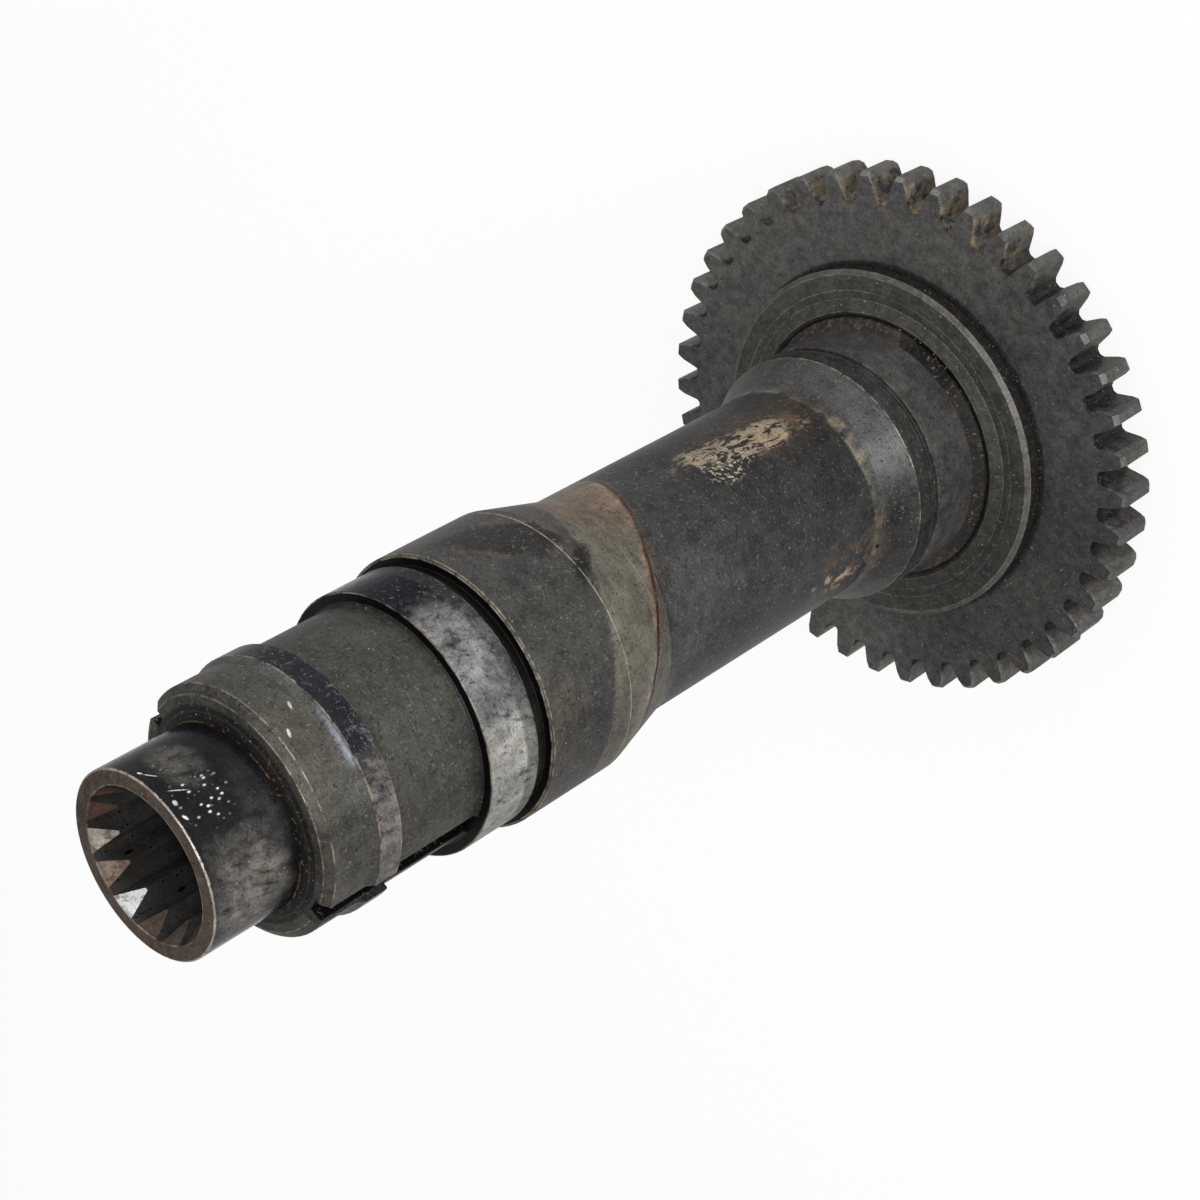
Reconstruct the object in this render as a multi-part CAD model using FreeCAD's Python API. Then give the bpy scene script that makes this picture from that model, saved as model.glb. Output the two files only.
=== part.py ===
"""Drive shaft of a heavy gearbox, with a spur gear welded on at one end.

The shaft stands on the gear: +Z runs along the shaft towards its splined pilot,
and the origin is the centre of the gear's rear face. Millimetres throughout.
"""
import FreeCAD
import Part
import math
import os

V = FreeCAD.Vector

# Gear wheel: a straight-toothed spur gear with a hub on its front side
MODULE = 5.0
TEETH = 42
PRESSURE_ANGLE = 20.0
ADDENDUM = 5.0
DEDENDUM = 6.25
TOOTH_THINNING = 0.12
FIRST_TOOTH_ANGLE = 0.0
ROOT_CHAMFER = 1.2
FLANK_STEPS = 2
GEAR_WIDTH = 19.0
TIP_BEVEL = 1.6
TIP_BEVEL_WIDTH = 2.0
FLANK_BEVEL = 0.4
ROOT_BEVEL = 1.7
GAP_BEVEL_DEPTH = 1.6
HUB_DIAMETER = 146.0
HUB_HEIGHT = 8.2
HUB_BEVEL = 1.9
HUB_BEVEL_HEIGHT = 1.3
FACE_LINE_DIAMETER = 122.8
FACE_SINK = 0.6
CREST_DIAMETER = 112.8
CREST_HEIGHT = 1.3

# Seat that the gear is welded to, and the weld bead on it
SEAT_DIAMETER = 107.8
BEAD_HEIGHT = 3.4
BEAD_BULGE = 0.8

# Turned stretches of the shaft, from the gear to the pilot
REAR_COLLAR_DIAMETER = 100.3
REAR_COLLAR_LENGTH = 23.7
RING_GROOVE_WIDTH = 1.6
RING_GROOVE_DEPTH = 1.4
FRONT_COLLAR_DIAMETER = 100.0
FRONT_COLLAR_LENGTH = 10.3
COLLAR_BEVEL = 0.8
COLLAR_BEVEL_LENGTH = 1.5
FLARE_LENGTH = 16.1
FLARE_FOOT = 2.6
TUBE_DIAMETER = 84.6
TUBE_LENGTH = 117.3
CONE_LENGTH = 29.5
CONE_BLEND = 14.0
BODY_DIAMETER = 100.0
BODY_LENGTH = 41.2
BODY_BEVEL = 0.8
RELIEF_DIAMETER = 93.0
RELIEF_LENGTH = 4.4
BAND_DIAMETER = 95.0
BAND_LENGTH = 21.6
BAND_BEVEL = 0.4
MIDDLE_DIAMETER = 86.0
MIDDLE_LENGTH = 36.9
MIDDLE_CHAMFER = 1.1
LAND_DIAMETER = 90.6
LAND_LENGTH = 9.4
LAND_BEVEL = 0.5
RAMP_LENGTH = 2.9
FLANGE_DIAMETER = 87.4
FLANGE_LENGTH = 14.5
FLANGE_BEVEL_LENGTH = 2.4
FLANGE_FACE_DIAMETER = 81.6
FACE_RISE = 1.7
FACE_HOLLOW = 0.7
PILOT_DIAMETER = 65.0
PILOT_LENGTH = 33.5
PILOT_BEVEL = 0.4

# Splined socket in the pilot
SPLINE_TEETH = 14
SPLINE_ROOT_DIAMETER = 53.8
SPLINE_TIP_DIAMETER = 45.2
SPLINE_LENGTH = 55.0
SPLINE_TOOTH_BASE = 9.2
SPLINE_TOOTH_TIP = 1.0
SPLINE_FIRST_ANGLE = 10.6
LEAD_IN_DEPTH = 8.4
BORE_DIAMETER = 44.0
BORE_DEPTH = 112.0

# Two straight keyways, opposite each other on the X axis
KEYWAY_COUNT = 2
KEYWAY_WIDTH = 10.0
KEYWAY_FLOOR_RADIUS = 37.5


def at(radius, height):
    """A point of a profile in the XZ plane."""
    return V(radius, 0, height)


def polar(radius, angle, height):
    """A point at an angle in degrees about the Z axis."""
    turn = math.radians(angle)
    return V(radius * math.cos(turn), radius * math.sin(turn), height)


def revolved(steps):
    """Turns a closed profile about Z. A step is a point, or the two points that end an arc."""
    edges = []
    start = steps[0]
    here = start
    for step in steps[1:] + [start]:
        if isinstance(step, tuple):
            middle, end = step
            edges.append(Part.Arc(here, middle, end).toShape())
            here = end
        else:
            edges.append(Part.LineSegment(here, step).toShape())
            here = step
    face = Part.Face(Part.Wire(edges))
    return face.revolve(V(0, 0, 0), V(0, 0, 1), 360)


def rounded_corner(before, corner, after, radius):
    """Where the arc that rounds a corner of a profile starts, and the two points that end it."""
    to_before = (before - corner).normalize()
    to_after = (after - corner).normalize()
    half_angle = to_before.getAngle(to_after) / 2
    reach = radius / math.tan(half_angle)
    start = corner + to_before * reach
    end = corner + to_after * reach
    bisector = (to_before + to_after).normalize()
    centre = corner + bisector * (radius / math.sin(half_angle))
    middle = centre - bisector * radius
    return start, (middle, end)


def chamfered_corner(before, corner, after, size):
    """The two points that end a chamfer on a corner of a profile."""
    to_before = (before - corner).normalize()
    to_after = (after - corner).normalize()
    return corner + to_before * size, corner + to_after * size


def involute(angle):
    return math.tan(angle) - angle


def gear_gap(height, wider, deeper):
    """The outline of one tooth gap on the X axis, its flanks moved out and its root moved in."""
    pitch_radius = MODULE * TEETH / 2
    base_radius = pitch_radius * math.cos(math.radians(PRESSURE_ANGLE))
    root_radius = pitch_radius - DEDENDUM - deeper
    outside_radius = pitch_radius + ADDENDUM + MODULE / 2
    quarter_pitch = math.pi / (2 * TEETH)
    thinning = TOOTH_THINNING / (2 * pitch_radius)

    def half_angle(radius):
        slope = math.acos(min(1.0, base_radius / radius))
        opening = quarter_pitch - involute(math.radians(PRESSURE_ANGLE)) + involute(slope)
        return math.degrees(opening + thinning + wider / radius)

    foot_radius = root_radius + ROOT_CHAMFER
    step_height = (outside_radius - foot_radius) / FLANK_STEPS
    corners = [(root_radius, half_angle(root_radius) - math.degrees(ROOT_CHAMFER / root_radius))]
    for step in range(FLANK_STEPS + 1):
        radius = foot_radius + step * step_height
        corners.append((radius, half_angle(radius)))
    left = [polar(radius, angle, height) for radius, angle in corners]
    right = [polar(radius, -angle, height) for radius, angle in reversed(corners)]
    return Part.makePolygon(left + right + left[:1])


def gap_cutter():
    """Cuts one tooth gap, with a bevel along its edges on the gear's front."""
    overshoot = 1.0
    past_face = 1 + overshoot / GAP_BEVEL_DEPTH
    straight = Part.Face(gear_gap(-overshoot, 0, 0)).extrude(V(0, 0, GEAR_WIDTH + 2 * overshoot))
    wide = gear_gap(GEAR_WIDTH + overshoot, FLANK_BEVEL * past_face, ROOT_BEVEL * past_face)
    narrow = gear_gap(GEAR_WIDTH - GAP_BEVEL_DEPTH, 0, 0)
    return straight.fuse(Part.makeLoft([wide, narrow], True, True))


def gear_blank():
    """The turned gear before its teeth are cut."""
    tip_radius = MODULE * TEETH / 2 + ADDENDUM
    seat_radius = SEAT_DIAMETER / 2
    hub_radius = HUB_DIAMETER / 2
    crest_radius = CREST_DIAMETER / 2
    face_line_radius = FACE_LINE_DIAMETER / 2
    hub_face = GEAR_WIDTH + HUB_HEIGHT
    inner_face = hub_face - FACE_SINK
    return revolved([
        at(seat_radius, 0),
        at(tip_radius, 0),
        at(tip_radius, GEAR_WIDTH),
        at(hub_radius, GEAR_WIDTH),
        at(hub_radius, hub_face - HUB_BEVEL_HEIGHT),
        at(hub_radius - HUB_BEVEL, hub_face),
        at(face_line_radius, hub_face),
        at(crest_radius, hub_face + CREST_HEIGHT),
        at(seat_radius, inner_face),
    ])


def tip_bevels():
    """A block with one sloping side over the front and the back of each tooth, to trim the tips."""
    half_pitch = 180.0 / TEETH
    tip_radius = MODULE * TEETH / 2 + ADDENDUM
    run_out = 1.5
    inset = tip_radius - TIP_BEVEL
    clear = inset + TIP_BEVEL * run_out
    reach = TIP_BEVEL_WIDTH * run_out
    top = GEAR_WIDTH + HUB_HEIGHT + CREST_HEIGHT
    rings = [(inset, 0), (clear, reach), (clear, GEAR_WIDTH - reach), (inset, GEAR_WIDTH), (inset, top)]
    wires = []
    for side_distance, height in rings:
        corner_radius = side_distance / math.cos(math.radians(half_pitch))
        corners = [
            polar(corner_radius, FIRST_TOOTH_ANGLE + half_pitch * (2 * tooth + 1), height) for tooth in range(TEETH)
        ]
        wires.append(Part.makePolygon(corners + corners[:1]))
    return Part.makeLoft(wires, True, True)


def gear_wheel():
    cutter = gap_cutter()
    half_pitch = 180.0 / TEETH
    cutters = []
    for tooth in range(TEETH):
        copy = cutter.copy()
        copy.rotate(V(0, 0, 0), V(0, 0, 1), FIRST_TOOTH_ANGLE + half_pitch * (2 * tooth + 1))
        cutters.append(copy)
    return gear_blank().common(tip_bevels()).cut(cutters)


def stretches():
    """The heights along the shaft where one turned stretch ends and the next begins."""
    inner_face = GEAR_WIDTH + HUB_HEIGHT - FACE_SINK
    lengths = [
        ("seat", inner_face),
        ("bead", BEAD_HEIGHT),
        ("rear_collar", REAR_COLLAR_LENGTH),
        ("ring_groove", RING_GROOVE_WIDTH),
        ("front_collar", FRONT_COLLAR_LENGTH),
        ("flare", FLARE_LENGTH),
        ("tube", TUBE_LENGTH),
        ("cone", CONE_LENGTH),
        ("body", BODY_LENGTH),
        ("relief", RELIEF_LENGTH),
        ("band", BAND_LENGTH),
        ("middle", MIDDLE_LENGTH),
        ("land", LAND_LENGTH),
        ("ramp", RAMP_LENGTH),
        ("flange", FLANGE_LENGTH),
        ("flange_bevel", FLANGE_BEVEL_LENGTH),
        ("face", FACE_RISE),
        ("pilot", PILOT_LENGTH),
    ]
    tops = {}
    height = 0.0
    for name, length in lengths:
        height += length
        tops[name] = height
    return tops


def turned_shaft():
    """The shaft's outside, turned in one piece."""
    top = stretches()
    seat = SEAT_DIAMETER / 2
    rear_collar = REAR_COLLAR_DIAMETER / 2
    front_collar = FRONT_COLLAR_DIAMETER / 2
    tube = TUBE_DIAMETER / 2
    body = BODY_DIAMETER / 2
    relief = RELIEF_DIAMETER / 2
    band = BAND_DIAMETER / 2
    middle = MIDDLE_DIAMETER / 2
    land = LAND_DIAMETER / 2
    flange = FLANGE_DIAMETER / 2
    face = FLANGE_FACE_DIAMETER / 2
    pilot = PILOT_DIAMETER / 2
    bead_crest = (at(seat, top["seat"]) + at(rear_collar, top["bead"])) / 2 + at(BEAD_BULGE, BEAD_BULGE)
    flare_end, tube_start = chamfered_corner(
        at(front_collar, top["front_collar"]), at(tube, top["flare"]), at(tube, top["tube"]), FLARE_FOOT)
    cone_start, cone = rounded_corner(
        at(tube, top["flare"]), at(tube, top["tube"]), at(body, top["cone"]), CONE_BLEND)
    band_step, middle_start = chamfered_corner(
        at(band, top["band"]), at(middle, top["band"]), at(middle, top["middle"]), MIDDLE_CHAMFER)
    hollow = at((face + pilot) / 2, (top["flange_bevel"] + top["face"]) / 2 - FACE_HOLLOW)
    return revolved([
        at(0, 0),
        at(seat, 0),
        at(seat, top["seat"]),
        bead_crest,
        at(rear_collar, top["bead"]),
        at(rear_collar, top["rear_collar"]),
        at(rear_collar - RING_GROOVE_DEPTH, top["rear_collar"]),
        at(rear_collar - RING_GROOVE_DEPTH, top["ring_groove"]),
        at(front_collar - COLLAR_BEVEL, top["ring_groove"]),
        at(front_collar, top["ring_groove"] + COLLAR_BEVEL_LENGTH),
        at(front_collar, top["front_collar"]),
        flare_end,
        tube_start,
        cone_start,
        cone,
        at(body, top["cone"]),
        at(body, top["body"] - BODY_BEVEL),
        at(body - BODY_BEVEL, top["body"]),
        at(relief, top["body"]),
        at(relief, top["relief"]),
        at(band, top["relief"]),
        at(band, top["band"] - BAND_BEVEL),
        at(band - BAND_BEVEL, top["band"]),
        band_step,
        middle_start,
        at(middle, top["middle"]),
        at(land - LAND_BEVEL, top["middle"]),
        at(land, top["middle"] + LAND_BEVEL),
        at(land, top["land"]),
        at(flange, top["ramp"]),
        at(flange, top["flange"]),
        at(face, top["flange_bevel"]),
        hollow,
        at(pilot, top["face"]),
        at(pilot, top["pilot"] - PILOT_BEVEL),
        at(pilot - PILOT_BEVEL, top["pilot"]),
        at(0, top["pilot"]),
    ])


def socket_bore():
    """The round part of the socket: lead-in cone, spline bore and drilled bore."""
    mouth = stretches()["pilot"]
    overshoot = 1.0
    root = SPLINE_ROOT_DIAMETER / 2
    tip = SPLINE_TIP_DIAMETER / 2
    bore = BORE_DIAMETER / 2
    lead_in_slope = (root - tip) / LEAD_IN_DEPTH
    spline_end = mouth - SPLINE_LENGTH
    bore_end = mouth - BORE_DEPTH
    return revolved([
        at(0, mouth + overshoot),
        at(root + lead_in_slope * overshoot, mouth + overshoot),
        at(tip, mouth - LEAD_IN_DEPTH),
        at(tip, spline_end),
        at(bore, spline_end),
        at(bore, bore_end),
        at(0, bore_end),
    ])


def spline_gap():
    """The space between two teeth of the spline, centred on the X axis."""
    mouth = stretches()["pilot"]
    overshoot = 1.0
    root = SPLINE_ROOT_DIAMETER / 2
    tip = SPLINE_TIP_DIAMETER / 2
    half_pitch = 180.0 / SPLINE_TEETH
    root_angle = half_pitch - math.degrees(math.asin(SPLINE_TOOTH_BASE / 2 / root))
    tip_angle = half_pitch - math.degrees(math.asin(SPLINE_TOOTH_TIP / 2 / tip))
    low = mouth - SPLINE_LENGTH
    clear = tip - overshoot
    edges = [
        Part.Arc(polar(root, -root_angle, low), polar(root, 0, low), polar(root, root_angle, low)),
        Part.LineSegment(polar(root, root_angle, low), polar(tip, tip_angle, low)),
        Part.LineSegment(polar(tip, tip_angle, low), polar(clear, tip_angle, low)),
        Part.LineSegment(polar(clear, tip_angle, low), polar(clear, -tip_angle, low)),
        Part.LineSegment(polar(clear, -tip_angle, low), polar(tip, -tip_angle, low)),
        Part.LineSegment(polar(tip, -tip_angle, low), polar(root, -root_angle, low)),
    ]
    face = Part.Face(Part.Wire([edge.toShape() for edge in edges]))
    return face.extrude(V(0, 0, mouth + overshoot - low))


def keyway():
    """One keyway, open at the flange's face and ending at the step of the polished band."""
    top = stretches()
    overshoot = 1.0
    depth = BAND_DIAMETER / 2 + overshoot - KEYWAY_FLOOR_RADIUS
    length = top["face"] + overshoot - top["band"]
    corner = V(KEYWAY_FLOOR_RADIUS, -KEYWAY_WIDTH / 2, top["band"])
    return Part.makeBox(depth, KEYWAY_WIDTH, length, corner)


def patterned(shape, count, first_angle):
    """Copies of a shape, evenly spaced about the Z axis."""
    copies = []
    for number in range(count):
        copy = shape.copy()
        copy.rotate(V(0, 0, 0), V(0, 0, 1), first_angle + number * 360.0 / count)
        copies.append(copy)
    return copies


def shaft():
    half_pitch = 180.0 / SPLINE_TEETH
    bored = turned_shaft().cut(socket_bore())
    splined = bored.cut(patterned(spline_gap(), SPLINE_TEETH, SPLINE_FIRST_ANGLE + half_pitch))
    return splined.cut(patterned(keyway(), KEYWAY_COUNT, 0))


os.makedirs("parts", exist_ok=True)
for name, make in (("shaft", shaft), ("gear_wheel", gear_wheel)):
    solid = make().removeSplitter()
    print(name, "valid", solid.isValid(), "solids", len(solid.Solids), "volume", round(solid.Volume),
          "box", solid.BoundBox)
    solid.exportStep("parts/" + name + ".step")
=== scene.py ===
"""Looks of a used gearbox shaft: dark oiled steel, worn seats, rust, scale and a welded-on gear.

The shaft stands on its gear with +Z towards the splined pilot. Objects are in metres,
and the materials work in millimetres and in degrees round the shaft's axis. Both CAD pieces
keep their own meshes. Only the weld gets pieces of its own, a crust and some spatter.
"""
import bpy
import math
import random
from collections import namedtuple
from mathutils import Matrix, Vector, noise


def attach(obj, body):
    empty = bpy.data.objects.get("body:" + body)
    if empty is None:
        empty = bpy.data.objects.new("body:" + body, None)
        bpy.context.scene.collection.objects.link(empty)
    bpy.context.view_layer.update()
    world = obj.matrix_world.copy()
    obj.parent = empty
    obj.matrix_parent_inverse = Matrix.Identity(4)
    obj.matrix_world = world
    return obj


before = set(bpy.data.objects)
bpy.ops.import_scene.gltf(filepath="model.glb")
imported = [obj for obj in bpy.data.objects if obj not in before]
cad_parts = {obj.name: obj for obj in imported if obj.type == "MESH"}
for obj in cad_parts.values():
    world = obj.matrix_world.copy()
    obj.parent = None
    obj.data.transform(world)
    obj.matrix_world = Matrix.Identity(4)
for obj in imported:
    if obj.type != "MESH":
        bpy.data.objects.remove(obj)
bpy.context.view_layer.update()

MM = 0.001

# Camera, fitted to the photograph's perspective
CAMERA_PLACE = Vector((-0.2127, -0.6157, 0.7361))
CAMERA_RIGHT = Vector((-0.65314, -0.36281, -0.66466))
CAMERA_UP = Vector((0.71425, -0.58669, -0.38162))
CAMERA_BACK = Vector((-0.25150, -0.72399, 0.64233))
CAMERA_LENS_MM = 71.74
CAMERA_SENSOR_MM = 36.0

# Radii in mm of the surfaces that marks are placed on
TUBE_RADIUS = 42.3
FLARE_FOOT_RADIUS = 42.6
CONE_RADIUS = 44
BODY_RADIUS = 50
BAND_RADIUS = 47.5
FLANGE_RADIUS = 43.7
PILOT_RADIUS = 32.5
SOCKET_RADIUS = 27.2

# Sharp outer edges of the shaft, worn bright, and inner corners, dark with oil and painted shade, some
# rusty: radius and height
SHARP_EDGES = [
    (50.15, 53.7), (50.0, 65.6), (50.0, 269.0), (49.2, 269.7), (47.5, 274.1), (47.2, 295.7),
    (45.2, 332.8), (45.3, 342.0), (43.7, 359.4), (40.8, 361.8), (32.4, 396.9), (26.9, 396.9),
]
INNER_CORNERS = [
    (46.5, 269.7), (46.5, 274.1), (43.2, 295.7), (43.0, 332.6), (36.6, 361.9), (32.5, 363.5),
]
RUSTY_CORNERS = [(32.5, 363.5), (45.0, 332.6)]

# Slanting seam where the cone meets the tube: its height on the axis and its slopes along X and Y
SEAM_HEIGHT = 197.1
SEAM_SLOPE_X = 0.495
SEAM_SLOPE_Y = -0.087

# Light flecks on the pilot, painted highlights on drops of oil: angle, height, half-width across,
# half-width along, lean
PILOT_OIL_HIGHLIGHTS = [
    (-60.7, 394.3, 0.9, 0.4, 20), (-66, 392.8, 1.9, 0.28, 35), (-83, 390.3, 2.8, 0.2, 62),
    (-88.5, 393.9, 0.9, 0.7, 0), (-98, 394.2, 1.1, 0.45, 30),
]

# Light dashes on the flange: angle and height
FLANGE_DASHES = [(-81.7, 348.6), (-92, 355.6)]

# Turned circles on the gear's hub, painted bright as highlights where their edges catch the light, and the
# hub's foot, darkened with dirt and painted shade: radius and height
HUB_CIRCLES = [(73.0, 25.9), (71.1, 27.2), (61.4, 27.2), (56.4, 28.5), (64.8, 27.2)]
HUB_FOOT = [(73.0, 19.0)]

# Crust of the weld: its profile over the plain ring as radius and height in mm, and its relief
CRUST_PROFILE = [(54.3, 26.5), (54.2, 27.9), (53.4, 29.1), (52.0, 29.9), (50.6, 30.5), (50.0, 31.3)]
CRUST_STEPS_ROUND = 900
CRUST_RIPPLES = 118
CRUST_WAVER = 2.2
CRUST_LUMP_CELLS = 30
CRUST_RIPPLE_HEIGHT = 0.16
CRUST_LUMP_HEIGHT = 0.55
CRUST_THICKNESS = 0.15
CRUST_EDGE_DEPTH = 0.12
CRUST_OUTWARD = 0.75
CRUST_UPWARD = 0.8

# Spatter beside the weld: number of beads, and where they lie in degrees and mm
SPATTER_BEADS = 26
SPATTER_ANGLE = -88
SPATTER_SPREAD = 7
SPATTER_INNER_RADIUS = 50.3
SPATTER_OUTER_RADIUS = 54.6
SPATTER_TOP = 30.2
SPATTER_SLOPE = 0.75
SPATTER_FLATNESS = 0.8
BEAD_RINGS = 5
BEAD_SIDES = 8

# Studio in metres: the floor lies a little below the gear's rear face, so that the two never touch
FLOOR_HALF_SIZE = 60.0
FLOOR_HEIGHT = -0.3 * MM
FLOOR_GLOW = 1.03
FLOOR_GLOW_SHARE = 0.85
LAMPS_AIM = Vector((0, 0, 0.2))
LAMP_DISTANCE = 1.6
LAMP_SIZE = 0.9


def srgb(red, green, blue):
    """A colour given as display values from 0 to 255, turned into the linear values that shaders use."""
    def linear(value):
        value /= 255
        return value / 12.92 if value <= 0.04045 else ((value + 0.055) / 1.055) ** 2.4
    return (linear(red), linear(green), linear(blue), 1.0)


def grey(value):
    """A number as the colour that a ramp holds for it."""
    return (value, value, value, 1.0)


class Signal:
    """A number that varies over a surface: an output socket that can be used in sums."""

    def __init__(self, tree, socket):
        self.tree = tree
        self.socket = socket

    def math(self, operation, *others):
        node = self.tree.nodes.new("ShaderNodeMath")
        node.operation = operation
        for slot, value in zip(node.inputs, (self,) + others):
            if isinstance(value, Signal):
                self.tree.links.new(value.socket, slot)
            else:
                slot.default_value = value
        return Signal(self.tree, node.outputs[0])

    def __add__(self, other):
        return self.math("ADD", other)

    def __sub__(self, other):
        return self.math("SUBTRACT", other)

    def __mul__(self, other):
        return self.math("MULTIPLY", other)

    def flipped(self):
        """One minus this number."""
        return (self * -1.0) + 1.0

    def rise(self, low, high, smooth=True):
        """Goes from 0 at low to 1 at high; low may be the larger."""
        node = self.tree.nodes.new("ShaderNodeMapRange")
        node.interpolation_type = "SMOOTHSTEP" if smooth else "LINEAR"
        self.tree.links.new(self.socket, node.inputs["Value"])
        if low < high:
            node.inputs["From Min"].default_value = low
            node.inputs["From Max"].default_value = high
            return Signal(self.tree, node.outputs["Result"])
        node.inputs["From Min"].default_value = high
        node.inputs["From Max"].default_value = low
        node.inputs["To Min"].default_value = 1.0
        node.inputs["To Max"].default_value = 0.0
        return Signal(self.tree, node.outputs["Result"])

    def within(self, low, high, soft=0.3):
        """One between low and high, zero outside, with soft ends."""
        return self.rise(low - soft, low + soft) * self.rise(high + soft, high - soft)


class Paint:
    """Builds one layered steel material on a Principled shader."""

    def __init__(self, name):
        self.material = bpy.data.materials.new(name)
        self.material.use_nodes = True
        self.tree = self.material.node_tree
        self.tree.nodes.clear()
        coordinates = self.tree.nodes.new("ShaderNodeTexCoord")
        scale = self.tree.nodes.new("ShaderNodeVectorMath")
        scale.operation = "SCALE"
        scale.inputs["Scale"].default_value = 1 / MM
        self.tree.links.new(coordinates.outputs["Object"], scale.inputs[0])
        self.point = scale.outputs["Vector"]
        split = self.tree.nodes.new("ShaderNodeSeparateXYZ")
        self.tree.links.new(self.point, split.inputs[0])
        self.x, self.y, self.z = (Signal(self.tree, split.outputs[i]) for i in range(3))
        self.radius = (self.x * self.x + self.y * self.y).math("SQRT")
        self.angle = self.y.math("ARCTAN2", self.x) * (180 / math.pi)
        geometry = self.tree.nodes.new("ShaderNodeNewGeometry")
        facing = self.tree.nodes.new("ShaderNodeSeparateXYZ")
        self.tree.links.new(geometry.outputs["True Normal"], facing.inputs[0])
        self.facing_up = Signal(self.tree, facing.outputs[2])
        self.colour = None
        self.roughness = None
        self.metallic = None
        self.height = None

    def placed(self, size, stretch, turn, shift):
        """The surface point in cells of size mm, stretched and turned."""
        mapping = self.tree.nodes.new("ShaderNodeMapping")
        mapping.vector_type = "TEXTURE"
        mapping.inputs["Location"].default_value = (shift, shift * 1.7, shift * 0.6)
        mapping.inputs["Rotation"].default_value = [math.radians(a) for a in turn]
        mapping.inputs["Scale"].default_value = [size * s for s in stretch]
        self.tree.links.new(self.point, mapping.inputs["Vector"])
        return mapping.outputs["Vector"]

    def noise(self, size, detail=3.0, rough=0.55, stretch=(1, 1, 1), turn=(0, 0, 0), shift=0.0, warp=0.0):
        """Smooth noise, about 0.5 on average, whose lumps are about size mm across."""
        node = self.tree.nodes.new("ShaderNodeTexNoise")
        node.inputs["Scale"].default_value = 1.0
        node.inputs["Detail"].default_value = detail
        node.inputs["Roughness"].default_value = rough
        node.inputs["Distortion"].default_value = warp
        self.tree.links.new(self.placed(size, stretch, turn, shift), node.inputs["Vector"])
        return Signal(self.tree, node.outputs["Fac"])

    def specks(self, size, share, dot, shift=0.0, stretch=(1, 1, 1), turn=(0, 0, 0)):
        """Sparse dots: one cell in each size mm, a share of the cells kept, each dot mm across."""
        node = self.tree.nodes.new("ShaderNodeTexVoronoi")
        node.inputs["Scale"].default_value = 1.0
        self.tree.links.new(self.placed(size, stretch, turn, shift), node.inputs["Vector"])
        pick = self.tree.nodes.new("ShaderNodeSeparateColor")
        self.tree.links.new(node.outputs["Color"], pick.inputs[0])
        kept = Signal(self.tree, pick.outputs[0]).rise(1 - share, 1 - share + 0.02)
        near = Signal(self.tree, node.outputs["Distance"]).rise(dot / size, dot / size * 0.5)
        return kept * near

    def strokes(self, size, width, share, shift=0.0):
        """Short curved scratches: pieces of the contour lines of a noise with lumps of size mm."""
        field = self.noise(size, 1.0, 0.5, shift=shift)
        line = (field - 0.5).math("ABSOLUTE").rise(width, width * 0.4)
        pieces = self.noise(size * 0.8, 1.0, 0.6, shift=shift + 21)
        return line * pieces.rise(0.78 - share, 0.84 - share)

    def mix(self, mask, below, above):
        """The colour above laid over the colour below where the mask is one."""
        node = self.tree.nodes.new("ShaderNodeMix")
        node.data_type = "RGBA"
        factor, low, high = node.inputs[0], node.inputs[6], node.inputs[7]
        for slot, value in ((factor, mask), (low, below), (high, above)):
            if isinstance(value, Signal):
                self.tree.links.new(value.socket, slot)
            else:
                slot.default_value = value
        return Signal(self.tree, node.outputs[2])

    def blend(self, mask, below, above):
        """The same for numbers."""
        return mask.flipped() * below + mask * above

    def start(self, colour, roughness, metallic):
        """The ground that the layers lie on."""
        self.colour = colour
        self.roughness = roughness
        self.metallic = metallic

    def cover(self, mask, colour=None, roughness=None, metallic=None):
        """Lays a new layer over what is there."""
        if colour is not None:
            self.colour = self.mix(mask, self.colour, colour)
        if roughness is not None:
            self.roughness = self.blend(mask, self.roughness, roughness)
        if metallic is not None:
            self.metallic = self.blend(mask, self.metallic, metallic)

    def shade(self, factor):
        """Multiplies the colour by a number that varies."""
        node = self.tree.nodes.new("ShaderNodeVectorMath")
        node.operation = "SCALE"
        self.tree.links.new(self.colour.socket, node.inputs[0])
        self.tree.links.new(factor.socket, node.inputs["Scale"])
        self.colour = Signal(self.tree, node.outputs["Vector"])

    def ramp(self, signal, low, high, stops):
        """A stepped ramp: stops are pairs of a position and a colour, each held up to the next position."""
        node = self.tree.nodes.new("ShaderNodeValToRGB")
        node.color_ramp.interpolation = "CONSTANT"
        elements = node.color_ramp.elements
        while len(elements) > 1:
            elements.remove(elements[-1])
        for number, (position, colour) in enumerate(stops):
            place = max(0.0, (position - low) / (high - low))
            element = elements[0] if number == 0 else elements.new(place)
            element.position = place
            element.color = colour
        spread = signal.rise(low, high, smooth=False)
        self.tree.links.new(spread.socket, node.inputs["Fac"])
        return Signal(self.tree, node.outputs["Color"])

    def rings(self, places, width, wander=None):
        """Thin circles round the axis, each a radius and a height; one on the line, zero width mm away."""
        nearest = None
        for radius, height in places:
            across = self.radius - radius
            along = self.z - height
            squared = across * across + along * along
            nearest = squared if nearest is None else nearest.math("MINIMUM", squared)
        nearest = nearest.math("SQRT")
        if wander is not None:
            nearest = nearest + wander
        return nearest.rise(width, width * 0.35)

    def far_round(self, angle):
        """Degrees round the axis from an angle, between -180 and 180."""
        return (self.angle - angle).math("WRAP", 180.0, -180.0)

    def sector(self, middle, before, after, soft):
        """One over so many degrees before and after a middle angle, zero elsewhere, with soft ends."""
        return self.far_round(middle).within(-before, after, soft)

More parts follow.
